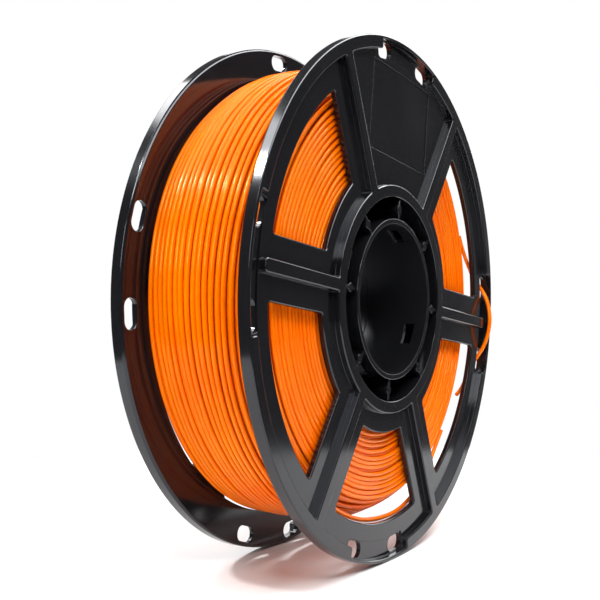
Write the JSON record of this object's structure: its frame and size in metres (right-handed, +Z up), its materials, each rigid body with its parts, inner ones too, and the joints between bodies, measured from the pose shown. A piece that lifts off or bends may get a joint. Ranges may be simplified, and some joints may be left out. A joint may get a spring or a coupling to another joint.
{
  "type": "filament spool",
  "caption": "Black plastic spool with open windowed flanges, wound with orange 3D-printer filament whose end is threaded through slots in the rim.",
  "frame": {"origin": "centre of the bore, half way between the two flanges", "axes": "+Y along the bore from the front flange to the rear one, +Z up, +X to the right when the front flange is looked at; the spool stands on its rims"},
  "size_m": [0.2, 0.0579, 0.2],
  "materials": {
    "black_plastic": "glossy moulded polystyrene, near black",
    "orange_filament": "glossy extruded PLA strand, bright orange"
  },
  "bodies": {
    "front_half": {"front_rim": "black_plastic", "front_spokes": "black_plastic", "front_label_panel": "black_plastic", "front_ribs": "black_plastic", "front_hub_plate": "black_plastic", "front_barrel": "black_plastic", "front_bore_tube": "black_plastic", "front_hub_webs": "black_plastic", "filament_pack": "orange_filament", "loose_turn": "orange_filament", "filament_tail": "orange_filament"},
    "rear_half": {"rear_rim": "black_plastic", "rear_spokes": "black_plastic", "rear_label_panel": "black_plastic", "rear_ribs": "black_plastic", "rear_hub_plate": "black_plastic", "rear_barrel": "black_plastic", "rear_bore_tube": "black_plastic", "rear_hub_webs": "black_plastic", "joining_pegs": "black_plastic"}
  },
  "joints": [
    {"name": "halves_part", "type": "slide", "parent": "front_half", "child": "rear_half", "axis": [0, 1, 0], "range_m": [0, 0.03]}
  ]
}
